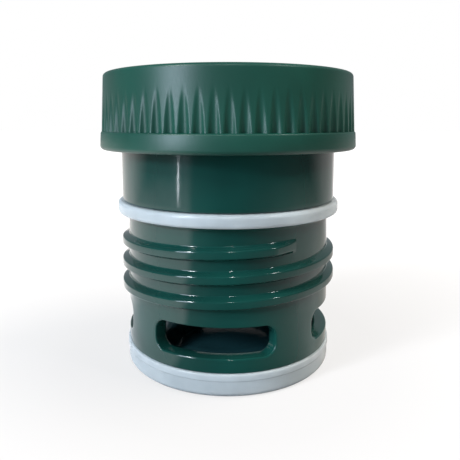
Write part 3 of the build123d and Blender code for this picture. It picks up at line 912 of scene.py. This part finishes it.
# ---------------------------------------------------------------------------
# Floor, light and camera
# ---------------------------------------------------------------------------
def place_lamp(lamp, place, target):
    """Adds a lamp at a place, in metres, with its -Z axis turned towards a target."""
    made = bpy.data.objects.new(lamp.name, lamp)
    made.location = place
    made.rotation_euler = (Vector(target) - Vector(place)).to_track_quat("-Z", "Y").to_euler()
    bpy.context.scene.collection.objects.link(made)
    return made


def soft_box(name, around, distance, height, width, tall, power, colour="#ffffff"):
    """Rectangular lamp, turned to the middle of the stopper, that a viewer doesn't see.

    It stands at an angle around from the camera, with lengths in metres.
    """
    lamp = bpy.data.lights.new(name, "AREA")
    lamp.shape = "RECTANGLE"
    lamp.size, lamp.size_y = width, tall
    lamp.energy = power
    lamp.color = linear(colour)[:3]
    turn = math.radians(CAMERA_AZIMUTH + around)
    place = (distance * math.cos(turn), distance * math.sin(turn), height)
    made = place_lamp(lamp, place, target=(0, 0, 0.04))
    made.visible_camera = False


def sky_lamp(name, around, elevation, spread, strength, colour="#ffffff"):
    """Distant lamp, even everywhere and as wide as spread, that makes no highlight of its own.

    It shines from an angle around from the camera and an elevation.
    """
    lamp = bpy.data.lights.new(name, "SUN")
    lamp.energy = strength
    lamp.angle = math.radians(spread)
    lamp.color = linear(colour)[:3]
    turn, climb = math.radians(CAMERA_AZIMUTH + around), math.radians(elevation)
    level = math.cos(climb)
    place = (math.cos(turn) * level, math.sin(turn) * level, math.sin(climb))
    made = place_lamp(lamp, place, target=(0, 0, 0))
    made.visible_glossy = False


def backdrop_floor():
    """Flat disc as a polar grid, r from 0 to 3 m in growing steps, just under the sole."""
    columns, floor_z = 96, -0.01
    radius = np.array([0, 50, 100, 200, 500, 1200, 3000])
    angle = np.arange(columns) * 360 / columns
    vertices, quads = grid(cylindrical(radius[:, None], angle[None], floor_z), wrap_columns=True)
    mesh = bpy.data.meshes.new("card_floor")
    mesh.from_pydata((vertices * MM).tolist(), [], quads.tolist())
    mesh.materials.append(card_with_painted_light())
    floor = bpy.data.objects.new("card_floor", mesh)
    bpy.context.scene.collection.objects.link(floor)


def studio_world():
    """Plain white backdrop, in a room that is bright behind the stopper and dim on the near side."""
    world = bpy.data.worlds.new("studio_room")
    bpy.context.scene.world = world
    world.use_nodes = True
    tree = world.node_tree
    tree.nodes.clear()
    direction = add(tree, "ShaderNodeTexCoord").outputs["Generated"]
    split = add(tree, "ShaderNodeSeparateXYZ", {"Vector": direction})
    ray = add(tree, "ShaderNodeLightPath")
    reflected = add(tree, "ShaderNodeMapRange", {
        "Value": split.outputs["Y"],
        "From Min": -0.1, "From Max": 0.7, "To Min": 0.04, "To Max": 0.4,
    })
    strength = add(tree, "ShaderNodeMix", {
        "Factor": ray.outputs["Is Glossy Ray"], "A": 0.34, "B": reflected.outputs["Result"],
    })
    room = add(tree, "ShaderNodeBackground", {
        "Color": linear("#f2f6ff"), "Strength": strength.outputs["Result"],
    })
    seen = add(tree, "ShaderNodeBackground", {"Color": linear("#ffffff"), "Strength": 1.0})
    mix = add(tree, "ShaderNodeMixShader", {0: ray.outputs["Is Camera Ray"]})
    tree.links.new(room.outputs["Background"], mix.inputs[1])
    tree.links.new(seen.outputs["Background"], mix.inputs[2])
    add(tree, "ShaderNodeOutputWorld", {"Surface": mix.outputs["Shader"]})


def camera():
    """Hand-held distance, level with the neck, tilted 3 degrees down and cropped off centre."""
    distance, height, tilt = 0.1304, 0.0592, 3
    data = bpy.data.cameras.new("camera")
    data.sensor_width = 36
    data.lens = 39.4
    data.shift_x = 0.0042
    data.shift_y = -0.178
    data.clip_start = 0.01
    made = bpy.data.objects.new("camera", data)
    bpy.context.scene.collection.objects.link(made)
    turn = math.radians(CAMERA_AZIMUTH)
    made.location = (distance * math.cos(turn), distance * math.sin(turn), height)
    made.rotation_euler = (math.radians(90 - tilt), 0, turn + math.pi / 2)
    bpy.context.scene.camera = made


camera()
knob_body()
turn_arrows()
knob_base()
core_cup()
o_ring()
sleeve_body()
thread_ridge()
seal_ring()
seal_boot()
floor_plug()
for foam in ("knob_insulation", "core_insulation"):
    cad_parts[foam].data.materials.clear()
    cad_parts[foam].data.materials.append(FOAM)

backdrop_floor()
studio_world()

# Daylight: a cool key from the left, a warm fill from the right and a weak light from behind.
sky_lamp("key_left", around=-55, elevation=26, spread=14, strength=3.4, colour="#f0f6ff")
sky_lamp("fill_right", around=88, elevation=50, spread=40, strength=3.8, colour="#fff0e0")
sky_lamp("back", around=165, elevation=60, spread=60, strength=1.4)

# A window and a bright slit at its foot give the long highlights on the knob and the neck.
soft_box("window_left", -45, 0.5, 0.16, width=0.15, tall=0.26, power=1.9, colour="#dfeaff")
soft_box("strip_left", -49, 0.25, 0.013, width=0.003, tall=0.026, power=0.010, colour="#f0f6ff")

# Small ceiling lamps give the short glints on the thread, the ring and the windows' sills.
soft_box("ceiling_left", -50, 0.5, 0.5, width=0.05, tall=0.05, power=1.8)
soft_box("ceiling_middle", 2, 0.5, 0.5, width=0.04, tall=0.04, power=0.6)
soft_box("ceiling_right", 56, 0.5, 0.5, width=0.05, tall=0.05, power=0.8)
bpy.context.scene.view_settings.view_transform = "Standard"
